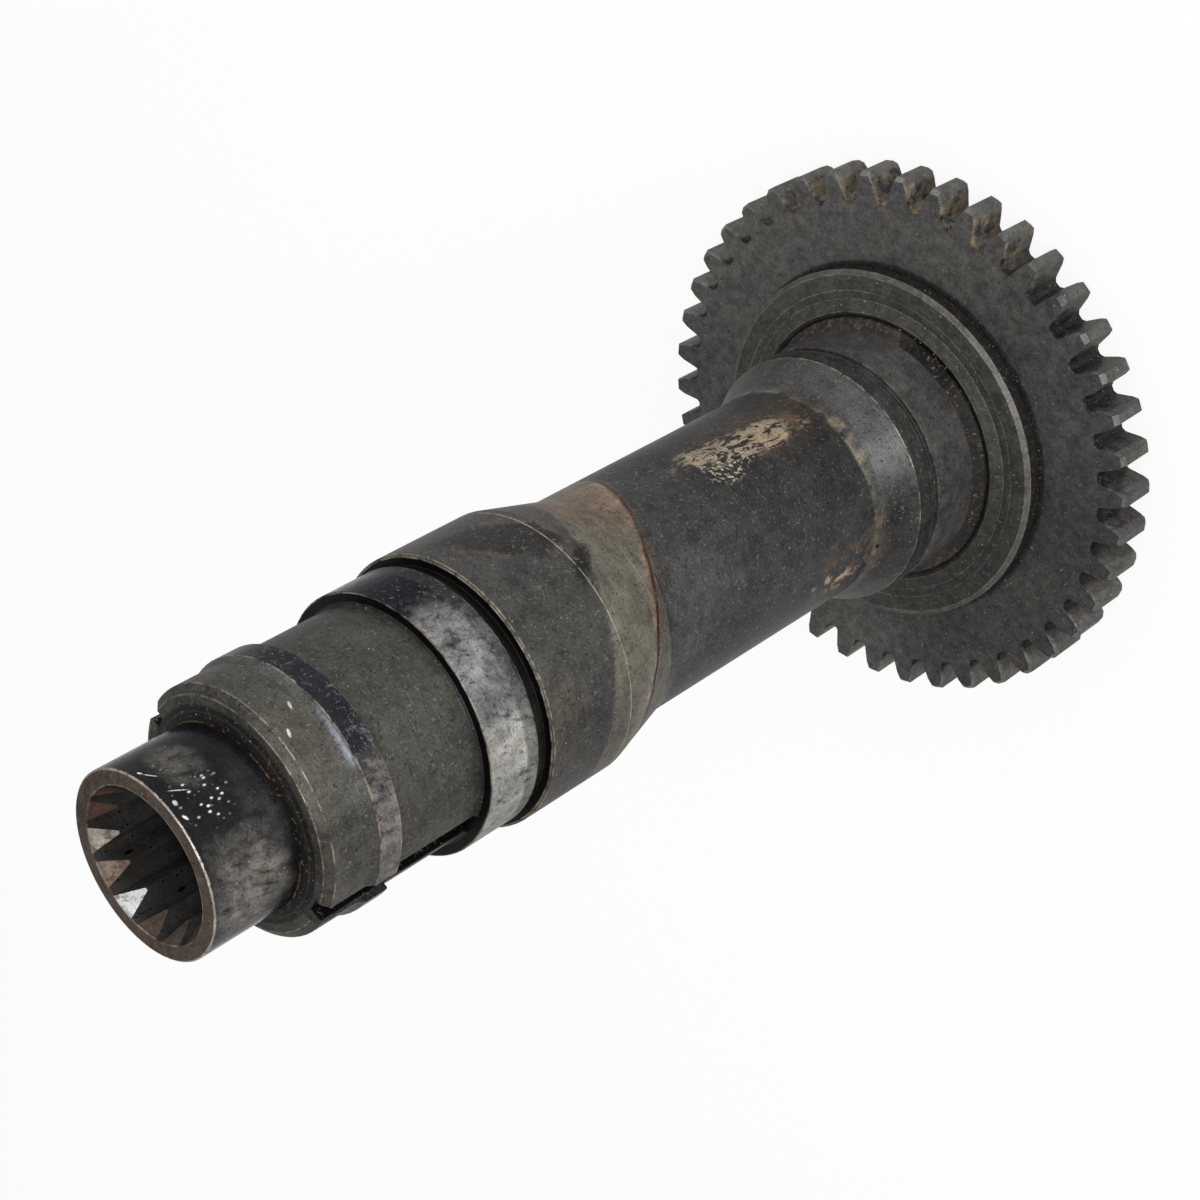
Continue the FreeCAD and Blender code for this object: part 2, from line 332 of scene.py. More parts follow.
    def spot(self, angle, height, across, along, radius, ragged=None, soft=0.25, lean=0.0):
        """A patch on a surface of this radius: one inside an ellipse of half-widths across and along."""
        turn = self.far_round(angle) * (math.pi / 180 * radius)
        rise = self.z - height
        tilt = math.radians(lean)
        first = turn * (math.cos(tilt) / across) + rise * (math.sin(tilt) / across)
        second = rise * (math.cos(tilt) / along) - turn * (math.sin(tilt) / along)
        distance = (first * first + second * second).math("SQRT")
        if ragged is not None:
            distance = distance + ragged
        return distance.rise(1 + soft, 1 - soft)

    def finish(self):
        """Puts the layers on one shader. A number that never varied stays on the shader's own socket."""
        shader = self.tree.nodes.new("ShaderNodeBsdfPrincipled")
        output = self.tree.nodes.new("ShaderNodeOutputMaterial")
        shader.inputs["Specular IOR Level"].default_value = 0.25
        shader.inputs["Specular Tint"].default_value = (0.42, 0.42, 0.44, 1)
        bump = self.tree.nodes.new("ShaderNodeBump")
        bump.inputs["Strength"].default_value = 1.0
        bump.inputs["Distance"].default_value = MM
        self.tree.links.new(self.height.socket, bump.inputs["Height"])
        self.tree.links.new(self.colour.socket, shader.inputs["Base Color"])
        for name, value in (("Roughness", self.roughness), ("Metallic", self.metallic)):
            if isinstance(value, Signal):
                self.tree.links.new(value.socket, shader.inputs[name])
            else:
                shader.inputs[name].default_value = value
        self.tree.links.new(bump.outputs["Normal"], shader.inputs["Normal"])
        self.tree.links.new(shader.outputs["BSDF"], output.inputs["Surface"])
        return self.material


# Stretches of the shaft: name, height of its top in mm, colour, roughness, share of bare metal. The ring
# groove and the relief are painted near black as shade.
Stretch = namedtuple("Stretch", "name top colour roughness metal")
STRETCHES = [
    Stretch("seat", 26.6, srgb(60, 57, 54), 0.55, 0.5),
    Stretch("bead", 30.0, srgb(66, 54, 46), 0.6, 0.4),
    Stretch("rear_collar", 53.75, srgb(92, 91, 88), 0.42, 0.5),
    # Painted shade: the narrow ring groove is coloured near black
    Stretch("ring_groove", 55.28, srgb(9, 9, 9), 0.6, 0.2),
    Stretch("collar_bevel", 56.9, srgb(66, 64, 60), 0.5, 0.4),
    Stretch("front_collar", 65.6, srgb(62, 62, 61), 0.42, 0.5),
    Stretch("flare", 81.7, srgb(74, 74, 72), 0.42, 0.5),
    Stretch("tube", 199.0, srgb(58, 59, 59), 0.4, 0.5),
    Stretch("cone", 228.6, srgb(69, 68, 65), 0.43, 0.5),
    Stretch("body", 269.8, srgb(69, 68, 65), 0.43, 0.5),
    # Painted shade: the relief and its shoulder face are coloured near black
    Stretch("relief", 274.12, srgb(10, 10, 10), 0.35, 0.3),
    Stretch("band", 295.75, srgb(76, 76, 79), 0.3, 0.8),
    Stretch("middle", 332.6, srgb(70, 69, 64), 0.45, 0.5),
    Stretch("land", 342.0, srgb(38, 40, 45), 0.3, 0.6),
    Stretch("ramp", 344.9, srgb(84, 84, 82), 0.4, 0.6),
    Stretch("flange", 361.85, srgb(80, 78, 72), 0.47, 0.5),
    Stretch("dish", 363.6, srgb(30, 28, 26), 0.45, 0.3),
    Stretch("pilot", 400.0, srgb(34, 34, 36), 0.2, 0.6),
]

# Lead-in facets of the socket: the angle at which each begins, and its colour, which is painted light and
# shade over brownish steel, pale where a facet catches the light
FACETS = [
    (-180, srgb(70, 62, 56)), (-15, srgb(96, 76, 64)), (0, srgb(98, 76, 66)),
    (25, srgb(200, 190, 176)), (50, srgb(134, 118, 106)), (75, srgb(250, 249, 247)),
    (100, srgb(92, 82, 74)), (125, srgb(94, 86, 78)), (150, srgb(86, 76, 68)),
]


class ShaftPaint(Paint):
    """The shaft's steel: a ground for each stretch of its length, with the marks and wear laid on it."""

    def __init__(self, name):
        """Starts with the fields and masks that several marks share."""
        super().__init__(name)
        self.mottling = self.noise(6, detail=4, rough=0.68, shift=31)
        self.grain = self.noise(0.8, detail=2, rough=0.7, shift=11)
        self.uneven = self.noise(4.0, detail=3, shift=71)
        self.ragged = (self.noise(9, detail=4, rough=0.62, shift=77) - 0.5) * 1.6
        self.broken = self.noise(7, detail=3, shift=19).rise(0.42, 0.6)
        self.scuffs = self.noise(3.4, detail=4, rough=0.7, stretch=(1, 1, 2.2), turn=(15, 20, 0), shift=23)
        self.outside = self.radius.rise(SOCKET_RADIUS, SOCKET_RADIUS + 0.4)
        self.seam = self.z - SEAM_HEIGHT + self.x * SEAM_SLOPE_X + self.y * SEAM_SLOPE_Y
        level = self.facing_up.math("ABSOLUTE").rise(0.85, 0.95)
        # Flat step faces between the seats, later painted near black as shade
        self.shaded_step_faces = level * self.z.within(269.4, 333.0, 0.1)
        self.on_pilot = self.z.rise(363.8, 364.2) * self.outside

    def ground(self):
        """Colour, roughness and bare metal of each stretch."""
        low = 0.0
        high = STRETCHES[-1].top
        bottoms = [low] + [stretch.top for stretch in STRETCHES[:-1]]

        def along(values):
            return self.ramp(self.z, low, high, list(zip(bottoms, values)))

        colour = along([stretch.colour for stretch in STRETCHES])
        roughness = along([grey(stretch.roughness) for stretch in STRETCHES])
        metallic = along([grey(stretch.metal) for stretch in STRETCHES])
        # The sums turn the ramps' colours into plain numbers
        self.start(colour, roughness + 0.0, metallic + 0.0)

    def cone_and_seam(self):
        """Olive-brown scale on the cone, which ends at the slanting rust seam on the tube."""
        wander = (self.noise(5, detail=2, shift=3) - 0.5) * 2.2
        wandering = self.seam + wander
        below_seam = wandering.rise(0.8, -0.6)
        above_seam = wandering.rise(-0.6, 0.8)
        scale_top = self.z - 225 + self.x * 0.35 + self.ragged * 1.6
        self.cover(above_seam * scale_top.rise(1.0, -1.0) * self.outside, srgb(106, 101, 90), 0.5, 0.4)
        on_tube = below_seam * self.z.rise(190, 191) * self.outside
        self.cover(on_tube, srgb(58, 59, 59), 0.4, 0.5)

        # A light strip with a dark rim runs beside the seam, on the tube
        strip_edge = self.z - 197 + self.x * 0.16
        strip_side = self.sector(-150, 44, 44, 8) * self.outside
        self.cover(strip_edge.rise(-0.2, 0.5) * on_tube * strip_side, srgb(86, 83, 75), 0.5, 0.4)
        self.cover(strip_edge.within(-1.0, -0.4, 0.3) * strip_side * 0.8, srgb(18, 17, 16), 0.5, 0.1)

        stain = self.spot(angle=-91, height=228, across=9, along=3.4, radius=49,
                          ragged=self.ragged * 0.6, soft=0.3, lean=-50)
        self.cover(stain * 0.85, srgb(34, 35, 33), 0.42)
        rust = self.spot(angle=-63, height=199, across=15, along=15, radius=CONE_RADIUS,
                         ragged=self.ragged, soft=0.5)
        self.cover(rust * self.seam.rise(-0.6, 0.8) * 0.5, srgb(124, 96, 72), 0.6, 0.2)

        # The seam itself: pale border, rust, and a thin dark red line
        border = (self.seam + wander * 0.8).within(-1.0, 3.4, 1.6)
        self.cover(border * self.broken * self.outside * 0.65, srgb(150, 128, 106), 0.6, 0.15)
        rusty = wandering.within(-1.2, 1.6, 1.0) * self.outside * self.sector(-75, 60, 30, 20)
        self.cover(rusty * 0.75, srgb(112, 64, 40), 0.65, 0.0)
        line = (self.seam + wander * 0.7).within(-0.9, 0.8, 0.5) * self.broken.rise(-1.2, 0.5)
        self.cover(line * self.outside * self.z.within(150, 226, 1), srgb(34, 13, 8), 0.6, 0.0)

    def body_stains(self):
        """A dark leaning stain with a brown rim, and slight tints round the body."""
        stain = self.spot(angle=-64, height=243, across=21, along=9.5, radius=BODY_RADIUS,
                          ragged=self.ragged * 0.7, soft=0.16, lean=45)
        self.cover(stain * 0.9, srgb(44, 42, 39), 0.38)
        rim = self.spot(angle=-64, height=243, across=23, along=11, radius=BODY_RADIUS,
                        ragged=self.ragged * 0.7, soft=0.14, lean=45)
        self.cover(rim * stain.flipped() * self.broken * 0.5, srgb(112, 84, 60), 0.55, 0.3)
        end = self.spot(angle=-150, height=262, across=30, along=9, radius=BODY_RADIUS,
                        ragged=self.ragged, soft=0.6)
        self.cover(end * 0.2, srgb(112, 100, 84), 0.5)
        low_side = self.z.within(230, 268, 6) * self.sector(-170, 40, 24, 14)
        self.cover(low_side * 0.4, srgb(54, 52, 49), 0.45)

    def tube_light_shade_and_smear(self):
        """Painted shade on the tube's top side, a painted highlight on its left side, and a rusty smear low
        on it.
        """
        # Painted shade: the top side of the tube is darker
        top = self.z.within(90, 196, 6) * self.sector(-50, 50, 24, 18)
        self.cover(top * self.seam.rise(0.8, -0.6) * 0.6, srgb(36, 36, 36), 0.4)
        # Painted highlight: the left side of the tube is lighter
        left = self.spot(angle=-110, height=178, across=50, along=26, radius=TUBE_RADIUS,
                         ragged=self.ragged, soft=0.6)
        self.cover(left * 0.22, srgb(102, 98, 90), 0.5)
        smear = self.spot(angle=-164, height=101, across=12, along=21, radius=TUBE_RADIUS,
                          ragged=self.ragged, soft=0.5, lean=-10)
        self.cover(smear * self.mottling.rise(0.4, 0.6) * 0.6, srgb(82, 66, 52), 0.6, 0.1)
        core = self.spot(angle=-168, height=106, across=4, along=12, radius=TUBE_RADIUS,
                         ragged=self.ragged * 1.3, soft=0.4, lean=-10)
        self.cover(core * self.mottling.rise(0.5, 0.56) * 0.7, srgb(160, 140, 114), 0.6, 0.0)

    def flare_marks(self):
        """The pale and rusty line at the flare's foot, one pit, a painted highlight band and a soft painted
        highlight on the lit side, painted shade on top, and a darker low side.
        """
        wander = (self.noise(8, detail=3, shift=9) - 0.5) * 1.6
        foot = self.rings([(FLARE_FOOT_RADIUS, 83.2)], 1.4, wander)
        self.cover(foot * self.broken * 0.6, srgb(116, 108, 92), 0.55, 0.15)
        # Painted highlight: a lighter band near the flare's foot on the lit side
        light = self.z.within(79.5, 84.5, 1.2) * self.sector(-98, 17, 17, 6)
        self.cover(light * self.broken * 0.6, srgb(146, 134, 112), 0.6, 0.1)
        rust = self.z.within(78, 86, 3) * self.sector(-160, 20, 24, 8) * self.ragged.rise(-0.4, 0.4)
        self.cover(rust * self.mottling.rise(0.38, 0.62) * 0.6, srgb(128, 102, 72), 0.6, 0.1)
        pit = self.spot(angle=-160, height=81.7, across=0.9, along=0.9, radius=FLARE_FOOT_RADIUS)
        self.cover(pit, srgb(8, 6, 5), 0.8, 0.0)
        # Painted highlight: a soft lighter patch on the flare's lit side
        soft_highlight = self.z.within(66, 79, 1.5) * self.sector(-92, 30, 34, 18)
        self.cover(soft_highlight * 0.5, srgb(92, 93, 94), 0.4, 0.6)
        # Painted shade: the flare's top side is darker
        top = self.z.within(66, 80, 2) * self.sector(-46, 30, 30, 12)
        self.cover(top * 0.5, srgb(52, 52, 51), 0.45)
        low_side = self.z.within(66, 79, 2) * self.sector(-160, 32, 34, 16)
        self.cover(low_side * 0.7, srgb(50, 49, 47), 0.45, 0.5)

    def cream_scale(self):
        """Rippled cream scale on the upper side of the tube, raised a little."""
        waves = self.noise(2.0, detail=1.0, stretch=(1, 1, 5), turn=(14, 0, 20), shift=4, warp=1.2)
        dots = self.noise(1.3, 1.0, stretch=(1, 1, 1.8), turn=(30, 0, 30))
        field = self.spot(angle=-73, height=124, across=7.5, along=28, radius=TUBE_RADIUS,
                          ragged=self.ragged, soft=0.3, lean=-6)
        core = self.spot(angle=-74, height=111, across=6.5, along=11, radius=TUBE_RADIUS,
                         ragged=self.ragged * 0.6, soft=0.35, lean=-8)
        left = self.spot(angle=-69, height=141, across=5, along=8, radius=TUBE_RADIUS,
                         ragged=self.ragged * 0.6, soft=0.3)
        dotted = self.spot(angle=-79, height=138, across=7, along=14, radius=TUBE_RADIUS,
                           ragged=self.ragged, soft=0.3, lean=6)
        halo = self.spot(angle=-70, height=110, across=14, along=34, radius=TUBE_RADIUS,
                         ragged=self.ragged, soft=0.5, lean=-6)
        orange = self.spot(angle=-74, height=97, across=5, along=4, radius=TUBE_RADIUS,
                           ragged=self.ragged * 1.2, soft=0.5)
        self.cover(halo * 0.5, srgb(78, 64, 50), 0.5, 0.3)
        self.cover(field * waves.rise(0.44, 0.38) * 0.7, srgb(22, 19, 16), 0.4, 0.1)
        self.cover(field * waves.rise(0.50, 0.56), srgb(142, 129, 108), 0.45, 0.0)
        self.cover((core + left).rise(0.3, 0.7) * waves.rise(0.36, 0.43), srgb(140, 125, 104), 0.5, 0.0)
        self.cover(dotted * dots.rise(0.56, 0.62), srgb(164, 156, 138), 0.4, 0.0)
        self.cover(orange * 0.5, srgb(112, 90, 68), 0.6, 0.0)
        raised = self.spot(angle=-73, height=124, across=7, along=26, radius=TUBE_RADIUS)
        self.height = raised * waves * 0.9

    def bearing_band(self):
        """The bearing's seat: painted shade makes it blue-black on top; it is scuffed bright in front and
        below, where the scuffs also carry a painted highlight.
        """
        band = self.z.within(274.3, 295.5, 0.2)
        # Painted shade: the top of the band is dark blue-black
        self.cover(band * self.sector(-45, 60, 30, 12) * 0.95, srgb(22, 23, 28), 0.2, 0.7)
        # Scuffs in front, which also carry a painted highlight
        bright = self.spot(angle=-97, height=287, across=16, along=13, radius=BAND_RADIUS,
                           ragged=self.ragged, soft=0.6)
        self.cover(band * bright * self.scuffs.rise(0.22, 0.6) * 0.95, srgb(158, 156, 153), 0.36, 0.6)
        # Scuffs below, which also carry a painted highlight
        low_side = band * self.sector(-160, 36, 34, 10) * self.scuffs.rise(0.28, 0.5)
        self.cover(low_side * 0.9, srgb(172, 169, 162), 0.36, 0.6)
        rear = self.z.within(274.3, 279.5, 0.8) * self.radius.rise(47.0, 47.3)
        self.cover(rear * 0.55, srgb(60, 59, 57), 0.45, 0.6)

    def land_and_ramp(self):
        """The raised land, scuffed mostly below, and a blue highlight painted on the ramp beside it."""
        land = self.z.within(333.0, 341.8, 0.3)
        self.cover(land * self.scuffs.rise(0.56, 0.66) * 0.6, srgb(110, 108, 106), 0.4, 0.5)
        low_side = land * self.sector(-150, 34, 30, 12) * self.scuffs.rise(0.24, 0.6)
        self.cover(low_side * 0.75, srgb(134, 128, 121), 0.45, 0.5)
        # Painted highlight: a soft bluish streak along the ramp
        glint = self.spot(angle=-103, height=343.2, across=8, along=0.8, radius=44.5,
                          ragged=self.ragged * 0.5, soft=0.8)
        self.cover(glint * 0.7, srgb(158, 165, 176), 0.3, 0.6)

    def pilot(self):
        """Oily black pilot with scuffed patches, the lower one also a painted reflection, pale flecks
        painted as highlights on drops of oil, and two pale dashes on the flange.
        """
        oval = self.spot(angle=-66, height=383.5, across=10.5, along=7, radius=PILOT_RADIUS,
                         ragged=self.ragged * 0.45, soft=0.35) * self.on_pilot
        self.cover(oval * self.scuffs.rise(0.24, 0.64) * 0.9, srgb(92, 88, 82), 0.45, 0.3)
        # Scuffs on the lower side, which also carry a painted reflection
        low_side = self.spot(angle=-150, height=383, across=15, along=13, radius=PILOT_RADIUS,
                             ragged=self.ragged * 0.7, soft=0.6) * self.on_pilot
        self.cover(low_side * self.scuffs.rise(0.22, 0.66) * 0.85, srgb(134, 128, 120), 0.42, 0.3)
        middle = self.spot(angle=-112, height=372, across=12, along=7, radius=PILOT_RADIUS,
                           ragged=self.ragged, soft=0.6) * self.on_pilot
        self.cover(middle * self.scuffs.rise(0.35, 0.6) * 0.35, srgb(70, 70, 72), 0.4)
        self.pilot_scuffs_and_sheen = oval + low_side + middle * 0.3

        # Painted highlights: small pale dots on drops of oil
        field = self.spot(angle=-92, height=385, across=9, along=8, radius=PILOT_RADIUS,
                          ragged=self.ragged * 0.5, soft=0.3) * self.on_pilot
        dots = self.specks(1.6, 0.6, 0.55, stretch=(1, 1, 1.5), turn=(10, 0, 0), shift=2)
        self.cover(dots * field, srgb(214, 208, 200), 0.25, 0.0)
        frayed = (self.grain - 0.5) * 0.9
        # Painted highlights: pale flecks on drops of oil
        for angle, height, across, along, lean in PILOT_OIL_HIGHLIGHTS:
            oil_highlight = self.spot(angle, height, across, along, PILOT_RADIUS, frayed, 0.3, lean)
            self.cover(oil_highlight * self.on_pilot, srgb(222, 216, 208), 0.3, 0.0)
        for angle, height in FLANGE_DASHES:
            dash = self.spot(angle, height, across=1.5, along=0.5, radius=FLANGE_RADIUS, soft=0.3, lean=-20)
            self.cover(dash, srgb(226, 216, 204), 0.3, 0.0)

    def tints_and_recesses(self):
        """Olive tints, the step faces and keyway floors painted near black as shade, and the dark faces of
        dish and weld seat.
        """
        olive = self.z.within(296, 332.5, 0.4) + self.z.within(345, 361.7, 0.4)
        warm = self.noise(22, detail=3, shift=44).rise(0.42, 0.66) * olive
        self.cover(warm * 0.4, srgb(80, 76, 68), 0.5)
        # Painted shade: step faces and keyway floors are coloured near black
        self.cover(self.shaded_step_faces * self.outside, srgb(7, 7, 7), 0.4, 0.1)
        shaded_keyway = self.z.within(296, 359, 0.3) * self.radius.rise(42.9, 42.5) * self.outside
        self.cover(shaded_keyway, srgb(8, 8, 8), 0.5, 0.1)
        dish = self.z.within(361.95, 363.6, 0.2) * self.radius.within(32, 36.6, 0.5)
        self.cover(dish * 0.6, srgb(34, 29, 25), 0.5, 0.3)
        weld_seat = self.z.within(25, 31.2, 0.6) * self.uneven.rise(0.4, 0.6)
        self.cover(weld_seat * self.outside, srgb(62, 57, 52), 0.6, 0.2)

    def socket(self):
        """Dark spline with oil drops, painted shade deepening to black further in, lead-in facets painted
        lit and shaded, brown mouth ring.
        """
        inside = self.outside.flipped() * self.z.rise(284, 285)
        self.cover(inside, srgb(78, 76, 72), 0.42, 0.3)
        drops = (self.specks(3.4, 0.5, 1.0, stretch=(1, 1, 2.4), shift=17)
                 + self.specks(2.1, 0.4, 0.5, shift=7))
        self.cover(drops * inside, srgb(5, 5, 5), 0.2, 0.2)
        # Painted shade: the spline darkens to black deeper in the socket
        self.cover(inside * self.z.rise(382, 358), srgb(7, 7, 7), 0.5, 0.1)
        # Lead-in facets, each coloured with painted light and shade by its angle
        facet = inside * self.facing_up.within(0.3, 0.7, 0.08) * self.z.rise(388.2, 388.8)
        self.cover(facet, self.ramp(self.angle, -180, 180, FACETS), 0.34, 0.35)
        self.cover(facet * self.scuffs.rise(0.5, 0.62) * 0.7, srgb(92, 58, 42), 0.5, 0.1)
        rust = facet * self.radius.rise(25.9, 26.7) * self.mottling.rise(0.42, 0.56)
        self.cover(rust * 0.6, srgb(72, 36, 25), 0.6, 0.0)
        mouth = self.z.rise(396.75, 396.9) * self.facing_up.rise(0.8, 0.9)
        self.cover(mouth, srgb(78, 68, 60), 0.5, 0.3)
        self.cover(mouth * self.scuffs.rise(0.5, 0.64) * 0.5, srgb(110, 86, 70), 0.6, 0.1)
        nicked_edge = self.rings([(32.3, 396.9)], 0.5, (self.grain - 0.5) * 1.2)
        self.cover(nicked_edge * 0.8, srgb(205, 196, 184), 0.35, 0.6)

    def edges_and_corners(self):
        """Edges worn bright, inner corners darkened with oil and painted shade, and the turned line round
        the cone.
        """
        edge = self.rings(SHARP_EDGES, 0.45) * self.uneven.rise(0.38, 0.6)
        self.cover(edge * 0.7, srgb(158, 144, 126), 0.4, 0.6)
        cream_edge = self.rings([(50.0, 231.5)], 0.34) * self.uneven.rise(0.3, 0.5)
        self.cover(cream_edge * 0.8, srgb(156, 147, 130), 0.5, 0.3)
        # Inner corners darkened: oily dirt and painted shade
        self.cover(self.rings(INNER_CORNERS, 1.5) * 0.75, srgb(16, 15, 14), 0.5, 0.2)
        rusty_corner = self.rings(RUSTY_CORNERS, 0.36) * self.uneven.rise(0.48, 0.6)
        self.cover(rusty_corner * 0.7, srgb(128, 96, 70), 0.6, 0.1)
        line = self.z.within(206.6, 206.9, 0.2) * self.seam.rise(0.5, 1.5) * self.outside
        line_colour = self.mix(self.sector(-62, 22, 30, 8), srgb(166, 156, 138), srgb(104, 62, 42))
        self.cover(line * 0.5, line_colour, 0.5, 0.3)

    def fine_texture(self):
        """Clouds, mottling, turning marks, scratches and dust over everything."""
        clouds = self.noise(34, detail=2)
        turning = self.noise(0.32, detail=2, stretch=(260, 260, 1), shift=5)
        cloudy = clouds.rise(0.32, 0.68) * 0.36 + self.mottling.rise(0.32, 0.68) * 0.5 + 0.57
        turned = turning.rise(0.3, 0.7) * 0.2 + 0.9
        self.shade(cloudy * turned * (self.grain.rise(0.25, 0.75) * 0.45 + 0.78))
        # Surfaces outside the socket, away from the faces painted near black as shade
        unshaded_outside = (self.shaded_step_faces + self.z.within(269.9, 274.0, 0.1)).flipped() * self.outside
        # Off the pilot, and on its scuffed patches, one of which also carries a painted reflection
        scuffed = (self.pilot_scuffs_and_sheen + self.on_pilot.flipped()).math("MINIMUM", 1.0)
        light_hairs = self.strokes(2.0, 0.035, 0.24)
        dark_hairs = self.strokes(2.2, 0.04, 0.26, shift=53)
        self.cover(light_hairs * unshaded_outside * scuffed * 0.42, srgb(136, 132, 124), 0.4, 0.4)
        self.cover(dark_hairs * unshaded_outside * 0.55, srgb(18, 18, 17), 0.6, 0.3)
        self.cover(self.specks(2.6, 0.10, 0.32, shift=3) * unshaded_outside, srgb(176, 168, 154), 0.7, 0.0)
        self.roughness = self.roughness + (self.mottling - 0.5) * 0.25
        self.height = self.height + self.mottling * 0.08 + self.grain * 0.03 + light_hairs * 0.05


def shaft_paint():
    paint = ShaftPaint("worn_shaft_steel")
    paint.ground()
    paint.cone_and_seam()
    paint.body_stains()
    paint.tube_light_shade_and_smear()
    paint.flare_marks()
    paint.cream_scale()
    paint.bearing_band()
    paint.land_and_ramp()
    paint.pilot()
    paint.tints_and_recesses()
    paint.socket()
    paint.edges_and_corners()
    paint.fine_texture()
    return paint.finish()


class GearPaint(Paint):
    """The gear's steel: web, hub and teeth, with dirt, rust and painted shade in the tooth gaps."""

    def __init__(self, name):
        """Starts with the fields and masks that several marks share."""
        super().__init__(name)
        self.mottling = self.noise(5, detail=4, rough=0.68, shift=31)
        self.grain = self.noise(0.8, detail=2, rough=0.7, shift=11)
        self.uneven = self.noise(4.0, detail=3, shift=71)
        self.dry = self.noise(5.5, detail=3, rough=0.7, shift=90)
        self.face_up = self.facing_up.rise(0.9, 0.97)
        self.on_hub = self.z.rise(19.6, 20.0)
        among_teeth = self.radius.within(97.4, 107.5, 0.8) * self.z.rise(19.0, 18.2)
        self.in_gap = among_teeth * self.face_up.flipped()

    def ground(self):
        patches = self.noise(32, detail=4).rise(0.35, 0.65)
        self.start(self.mix(patches, srgb(88, 88, 87), srgb(101, 99, 94)), 0.46, 0.55)

    def hub(self):
        """Brown-grey face with turned circles painted bright as highlights, a bevel and rim painted lighter
        on the lit side as highlight, a foot darkened with dirt and painted shade, and a dark ring at the
        weld.
        """
        self.cover(self.on_hub, srgb(82, 80, 75), 0.46, 0.5)
        wall = self.z.within(19.2, 25.7, 0.2) * self.radius.rise(72.5, 72.8)
        self.cover(wall, srgb(48, 47, 46), 0.5, 0.4)
        # The hub's foot, darkened with dirt and painted shade
        self.cover(self.rings(HUB_FOOT, 2.4) * 0.8, srgb(30, 30, 30), 0.5, 0.3)
        # Painted highlight: the bevel and the rim of the face are lighter on the lit side
        lit_side = self.sector(-100, 70, 62, 26)
        bevel = self.z.within(25.9, 27.2, 0.1) * self.radius.rise(70.9, 71.1)
        self.cover(bevel * (lit_side * 0.5 + 0.2), srgb(116, 113, 110), 0.4, 0.6)
        rim = self.on_hub * self.radius.rise(64, 71) * lit_side * self.face_up
        self.cover(rim * 0.4, srgb(100, 97, 92), 0.42, 0.6)
        # Painted highlights along the edges of the turned circles
        circles = self.rings(HUB_CIRCLES, 0.36) * self.uneven.rise(0.32, 0.55)
        self.cover(circles * 0.65, srgb(136, 128, 116), 0.45, 0.5)
        at_weld = self.z.rise(26.0, 26.4) * self.radius.rise(55.6, 54.4)
        self.cover(at_weld * 0.9, srgb(20, 19, 18), 0.45, 0.2)

    def teeth(self):
        """Bright tip bevels and flanks, dry dirt in the gaps, most in the upper ones, rust in the gaps on
        the right, and painted shade deep in the gaps.
        """
        rim = self.radius.rise(96.5, 97.5) * self.z.rise(17.0, 17.2)
        bevels = rim * self.facing_up.within(0.25, 0.85, 0.06)
        at_tip = self.radius.rise(101, 103)
        self.cover(bevels * at_tip * (self.uneven * 0.6 + 0.45), srgb(112, 113, 114), 0.4, 0.6)
        self.cover(bevels * at_tip.flipped() * 0.6, srgb(44, 43, 42), 0.5, 0.4)
        upper = self.sector(-55, 38, 30, 12)
        top_side = self.in_gap * upper
        elsewhere = self.in_gap * upper.flipped()
        right_side = self.in_gap * self.sector(-128, 34, 34, 10)
        self.cover(top_side * self.dry.rise(0.45, 0.58) * 0.85, srgb(134, 118, 95), 0.75, 0.0)
        self.cover(elsewhere * self.dry.rise(0.56, 0.66) * 0.55, srgb(108, 90, 70), 0.75, 0.0)
        self.cover(right_side * self.dry.rise(0.5, 0.4) * 0.7, srgb(40, 24, 19), 0.6, 0.1)
        # Painted shade between the dry dirt in the upper gaps
        self.cover(top_side * self.dry.rise(0.44, 0.36) * 0.75, srgb(22, 19, 17), 0.5, 0.2)
        # Painted shade: the floors of the other gaps are near black
        self.cover(elsewhere * self.radius.rise(101.5, 99.5) * 0.85, srgb(14, 12, 11), 0.6, 0.1)
        flank = elsewhere * self.radius.rise(102, 105) * self.uneven.rise(0.35, 0.6)
        self.cover(flank * 0.5, srgb(112, 108, 100), 0.42, 0.5)
        # Painted shade: the gaps darken towards the rear face
        self.cover(self.in_gap * self.z.rise(12, 4) * 0.4, srgb(30, 28, 26), 0.5)
        tips = self.radius.rise(109.6, 109.9) * self.uneven.rise(0.4, 0.6)
        self.cover(tips * 0.4, srgb(92, 88, 80), 0.45, 0.5)

    def fine_texture(self):
        """A painted shadow of the shaft on the lower web, mottling, scratches, dust and the hub's turning
        marks.
        """
        # Painted shadow: the shaft's shadow darkens the lower web
        shaft_shadow_on_web = self.face_up * self.sector(175, 42, 42, 20)
        self.cover(shaft_shadow_on_web * 0.45, srgb(46, 46, 44))
        mottled = self.mottling.rise(0.32, 0.68) * 0.5 + 0.72
        self.shade(mottled * (self.grain.rise(0.25, 0.75) * 0.36 + 0.82))
        light_hairs = self.strokes(2.0, 0.035, 0.22)
        dark_hairs = self.strokes(2.2, 0.04, 0.24, shift=53)
        self.cover(light_hairs * 0.4, srgb(150, 144, 134), 0.45, 0.4)
        self.cover(dark_hairs * 0.42, srgb(24, 24, 23), 0.6, 0.3)
        self.cover(self.specks(2.4, 0.12, 0.34, shift=3), srgb(176, 166, 150), 0.7, 0.0)
        self.roughness = self.roughness + (self.mottling - 0.5) * 0.2
        turning = (self.radius * 2.2 + self.uneven * 1.5).math("SINE") * self.on_hub * self.face_up
        self.height = (self.mottling * 0.08 + self.grain * 0.03 + light_hairs * 0.05
                       + turning * 0.02 + self.in_gap * self.dry * 0.35)


def gear_paint():
    paint = GearPaint("worn_gear_steel")
    paint.ground()
    paint.hub()
    paint.teeth()
    paint.fine_texture()
    return paint.finish()


